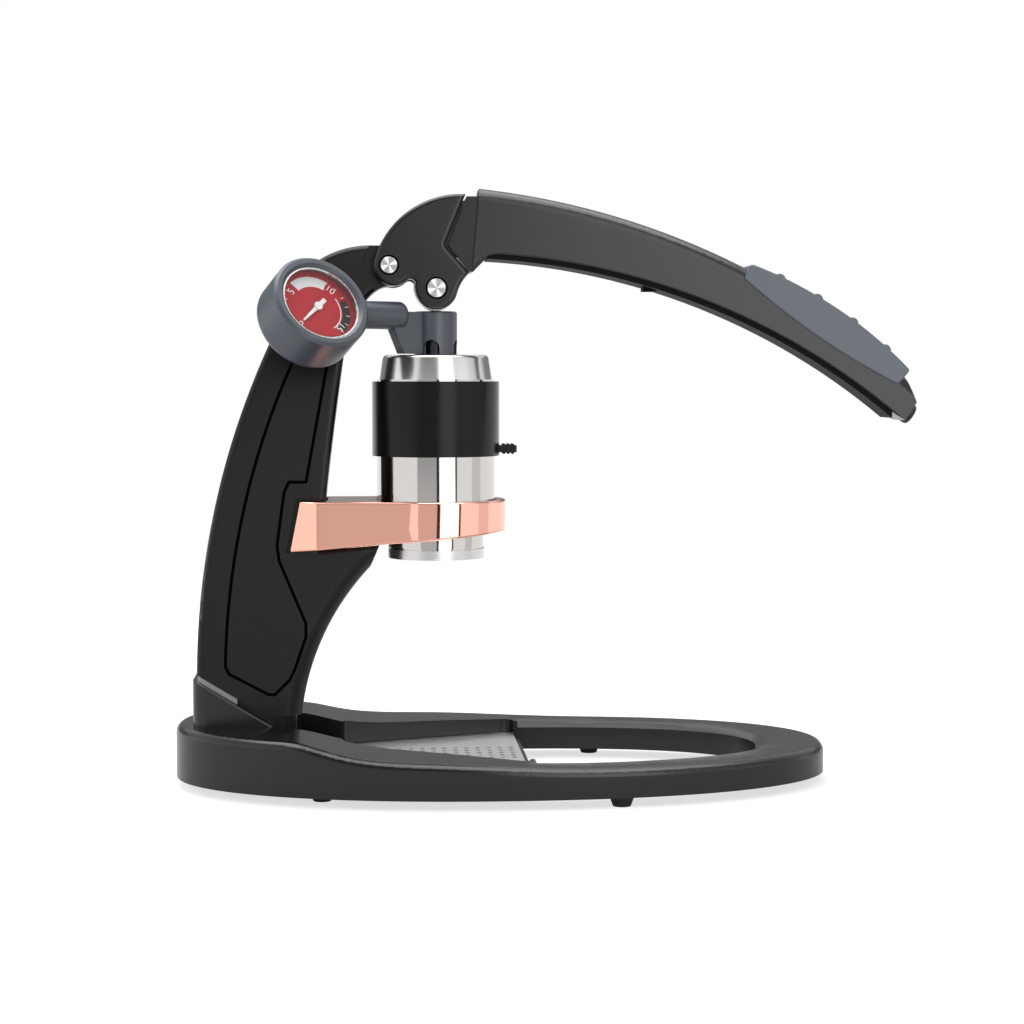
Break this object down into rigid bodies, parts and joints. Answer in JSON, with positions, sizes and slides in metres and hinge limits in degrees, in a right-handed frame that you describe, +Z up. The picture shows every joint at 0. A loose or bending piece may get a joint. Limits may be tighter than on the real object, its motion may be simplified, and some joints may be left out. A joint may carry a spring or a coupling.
{
  "type": "lever espresso machine",
  "caption": "Hand lever espresso machine: curved lever on a bent post presses a piston in an open brew cylinder, with a swinging pressure gauge and a ring base with drip tray.",
  "frame": {"origin": "on the floor, in the middle of the machine's length and width", "axes": "+X along the lever towards the tip of its handle, +Y across the base, +Z up"},
  "size_m": [0.37, 0.164, 0.2925],
  "materials": {
    "base_paint": "satin dark graphite powder coat",
    "post_paint": "satin black powder coat",
    "lever_paint": "satin black powder coat",
    "slate_paint": "matt slate grey coat",
    "copper_plate": "polished rose copper plating",
    "steel": "fine turned stainless steel",
    "cylinder_steel": "polished stainless steel",
    "pin_steel": "machined steel",
    "bronze": "plain bronze",
    "silicone": "black silicone",
    "seal_rubber": "moulded rubber",
    "grip_rubber": "slate grey rubber",
    "foot_rubber": "black rubber",
    "plug_plastic": "black plastic",
    "strip_plastic": "black plastic",
    "shim_plastic": "light grey plastic",
    "dial_red": "red print with white and black bands",
    "needle_white": "white paint",
    "lens_glass": "clear mineral glass"
  },
  "bodies": {
    "stand": {"base_ring": "base_paint", "base_feet": "foot_rubber", "post": "post_paint", "post_shim": "shim_plastic", "post_screws": "pin_steel", "pivot_bushing": "bronze", "portafilter_holder": "copper_plate", "portafilter": "steel", "spout_ring": "steel", "portafilter_basket": "cylinder_steel", "dispersion_screen": "cylinder_steel", "cylinder_seal": "seal_rubber", "brew_cylinder": "cylinder_steel", "cylinder_cap": "steel", "cylinder_sleeve": "silicone"},
    "tray": {"drip_tray": "steel"},
    "piston": {"piston": "cylinder_steel", "piston_seals": "seal_rubber", "piston_rod": "pin_steel"},
    "stem": {"stem": "slate_paint", "stem_guide": "bronze", "gauge_tube": "slate_paint", "gauge_housing": "slate_paint", "gauge_lens": "lens_glass", "gauge_bezel": "steel", "gauge_dial": "dial_red", "gauge_movement": "bronze", "bourdon_tube": "bronze"},
    "needle": {"gauge_needle": "needle_white", "gauge_spindle": "pin_steel"},
    "lever": {"lever_head": "lever_paint", "pivot_pin": "pin_steel", "press_pin": "pin_steel", "pivot_washers": "bronze", "lever_handle": "lever_paint", "handle_strip": "strip_plastic", "handle_grip": "grip_rubber", "handle_end_plug": "plug_plastic"},
    "roller": {"press_roller": "pin_steel"}
  },
  "joints": [
    {"name": "lever_hinge", "type": "hinge", "parent": "stand", "child": "lever", "pos_m": [-0.07961, 0, 0.25497], "axis": [0, -1, 0], "range_deg": [0, 75]},
    {"name": "piston_slide", "type": "slide", "parent": "stand", "child": "piston", "axis": [0, 0, 1], "range_m": [0, 0.03]},
    {"name": "stem_swing", "type": "hinge", "parent": "piston", "child": "stem", "pos_m": [-0.0565, 0, 0.2], "axis": [0, 0, 1], "range_deg": [0, 90]},
    {"name": "needle_spin", "type": "hinge", "parent": "stem", "child": "needle", "pos_m": [-0.1165, -0.03605, 0.2306], "axis": [-0.446, 0.7423, -0.5], "range_deg": [0, 270]},
    {"name": "roller_spin", "type": "hinge", "parent": "lever", "child": "roller", "pos_m": [-0.0565, 0, 0.24395], "axis": [0, 1, 0], "continuous": true},
    {"name": "tray_lift", "type": "slide", "parent": "stand", "child": "tray", "axis": [0, 0, 1], "range_m": [0, 0.03]}
  ],
  "couplings": [
    {"joint": "piston_slide", "follows": "lever_hinge", "m_per_rad": 0.0228},
    {"joint": "stem_swing", "follows": "lever_hinge", "ratio": 1.2}
  ]
}
